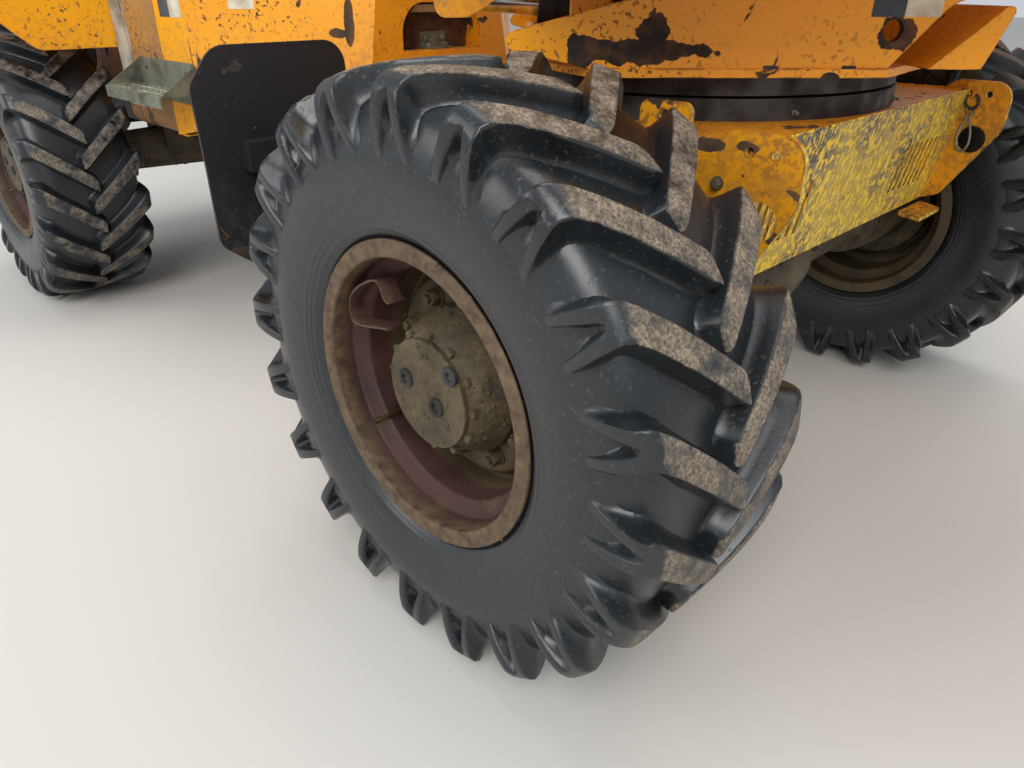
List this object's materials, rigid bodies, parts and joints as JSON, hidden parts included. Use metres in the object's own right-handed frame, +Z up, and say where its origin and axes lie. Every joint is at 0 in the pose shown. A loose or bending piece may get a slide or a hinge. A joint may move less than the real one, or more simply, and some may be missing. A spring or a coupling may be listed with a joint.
{
  "type": "articulated site dumper with swivel skip",
  "caption": "Articulated four-wheel site dumper with a swivelling, forward-tipping skip, centre pivot steering, open driver's place and folding roll-over hoop.",
  "frame": {"origin": "on the ground under the middle of the machine's box", "axes": "+X forward along the machine's length, +Y to its left, +Z up"},
  "size_m": [4.7086, 2.5012, 3.0596],
  "materials": {
    "yellow_paint": "satin",
    "black_paint": "satin",
    "tyre_rubber": "matte",
    "rim_paint": "matte",
    "bare_steel": "satin",
    "cast_metal": "matte",
    "seat_vinyl": "satin",
    "wheel_plastic": "matte",
    "lamp_lens": "gloss"
  },
  "bodies": {
    "rear_chassis": {"rear_frame": "yellow_paint", "rear_axle": "black_paint", "engine_block": "cast_metal", "front_cowl": "yellow_paint", "side_panels": "yellow_paint", "side_tanks": "yellow_paint", "cab_floor": "black_paint", "steps": "bare_steel", "rear_fenders": "yellow_paint", "rear_panel": "yellow_paint", "counterweight": "yellow_paint", "seat_base": "black_paint", "seat_cushion": "seat_vinyl", "seat_back": "seat_vinyl", "console": "black_paint", "steering_wheel": "wheel_plastic", "levers": "black_paint", "rops_posts": "yellow_paint", "exhaust": "bare_steel", "tail_lamps": "lamp_lens"},
    "centre_joint": {"centre_knuckle": "black_paint"},
    "front_chassis": {"front_frame": "yellow_paint", "front_axle": "black_paint", "slew_ring_lower": "bare_steel", "front_mudguards": "black_paint"},
    "swivel": {"slew_ring_upper": "bare_steel", "swivel_frame": "yellow_paint"},
    "skip": {"skip": "yellow_paint"},
    "tip_barrel": {"tip_ram_barrel": "black_paint"},
    "tip_rod": {"tip_ram_rod": "bare_steel"},
    "steering_barrel": {"steering_ram_barrel": "black_paint"},
    "steering_rod": {"steering_ram_rod": "bare_steel"},
    "engine_cover": {"engine_cover": "yellow_paint"},
    "rops_hoop": {"rops_hoop": "yellow_paint"},
    "wheel_fl": {"tyre_fl": "tyre_rubber", "rim_fl": "rim_paint", "hub_fl": "rim_paint"},
    "wheel_fr": {"tyre_fr": "tyre_rubber", "rim_fr": "rim_paint", "hub_fr": "rim_paint"},
    "wheel_rl": {"tyre_rl": "tyre_rubber", "rim_rl": "rim_paint", "hub_rl": "rim_paint"},
    "wheel_rr": {"tyre_rr": "tyre_rubber", "rim_rr": "rim_paint", "hub_rr": "rim_paint"}
  },
  "joints": [
    {"name": "oscillation", "type": "hinge", "parent": "rear_chassis", "child": "centre_joint", "pos_m": [-0.14399, -0.14763, 0.70964], "axis": [1, 0, 0], "range_deg": [-10, 10]},
    {"name": "steering", "type": "hinge", "parent": "centre_joint", "child": "front_chassis", "pos_m": [-0.14399, -0.14763, 0.70964], "axis": [0, 0, 1], "range_deg": [-33, 33]},
    {"name": "slew", "type": "hinge", "parent": "front_chassis", "child": "swivel", "pos_m": [0.95601, -0.14763, 1.01964], "axis": [0, 0, 1], "range_deg": [-135, 45]},
    {"name": "tip", "type": "hinge", "parent": "swivel", "child": "skip", "pos_m": [1.34492, 0.24127, 1.24964], "axis": [-0.7071, 0.7071, 0], "range_deg": [0, 55]},
    {"name": "tip_ram_swing", "type": "hinge", "parent": "swivel", "child": "tip_barrel", "pos_m": [1.13279, 0.02914, 1.09164], "axis": [-0.7071, 0.7071, 0], "range_deg": [0, 63.19]},
    {"name": "tip_ram_slide", "type": "slide", "parent": "tip_barrel", "child": "tip_rod", "axis": [-0.7056, -0.7056, 0.0657], "range_m": [0, 0.28014]},
    {"name": "steering_ram_swing", "type": "hinge", "parent": "front_chassis", "child": "steering_barrel", "pos_m": [0.47602, -0.37763, 0.70964], "axis": [0, 0, 1], "range_deg": [-2.87, 2.87]},
    {"name": "steering_ram_slide", "type": "slide", "parent": "steering_barrel", "child": "steering_rod", "axis": [-0.9991, 0.0428, 0], "range_m": [-0.11238, 0.11238]},
    {"name": "engine_cover_hinge", "type": "hinge", "parent": "rear_chassis", "child": "engine_cover", "pos_m": [-2.14798, -0.14763, 1.17464], "axis": [0, 1, 0], "range_deg": [-65, 0]},
    {"name": "rops_fold", "type": "hinge", "parent": "rear_chassis", "child": "rops_hoop", "pos_m": [-1.22898, -0.14763, 1.95964], "axis": [0, -1, 0], "range_deg": [0, 105]},
    {"name": "wheel_fl_spin", "type": "hinge", "parent": "front_chassis", "child": "wheel_fl", "pos_m": [1.15602, 0.75536, 0.53964], "axis": [0, 1, 0], "continuous": true},
    {"name": "wheel_fr_spin", "type": "hinge", "parent": "front_chassis", "child": "wheel_fr", "pos_m": [1.15602, -1.05063, 0.53964], "axis": [0, 1, 0], "continuous": true},
    {"name": "wheel_rl_spin", "type": "hinge", "parent": "rear_chassis", "child": "wheel_rl", "pos_m": [-1.49398, 0.75536, 0.53964], "axis": [0, 1, 0], "continuous": true},
    {"name": "wheel_rr_spin", "type": "hinge", "parent": "rear_chassis", "child": "wheel_rr", "pos_m": [-1.49398, -1.05063, 0.53964], "axis": [0, 1, 0], "continuous": true}
  ],
  "couplings": [
    {"joint": "tip_ram_swing", "follows": "tip", "ratio": 1.1487},
    {"joint": "tip_ram_slide", "follows": "tip", "m_per_rad": 0.29173},
    {"joint": "steering_ram_swing", "follows": "steering", "ratio": -0.086689},
    {"joint": "steering_ram_slide", "follows": "steering", "m_per_rad": 0.19494}
  ]
}
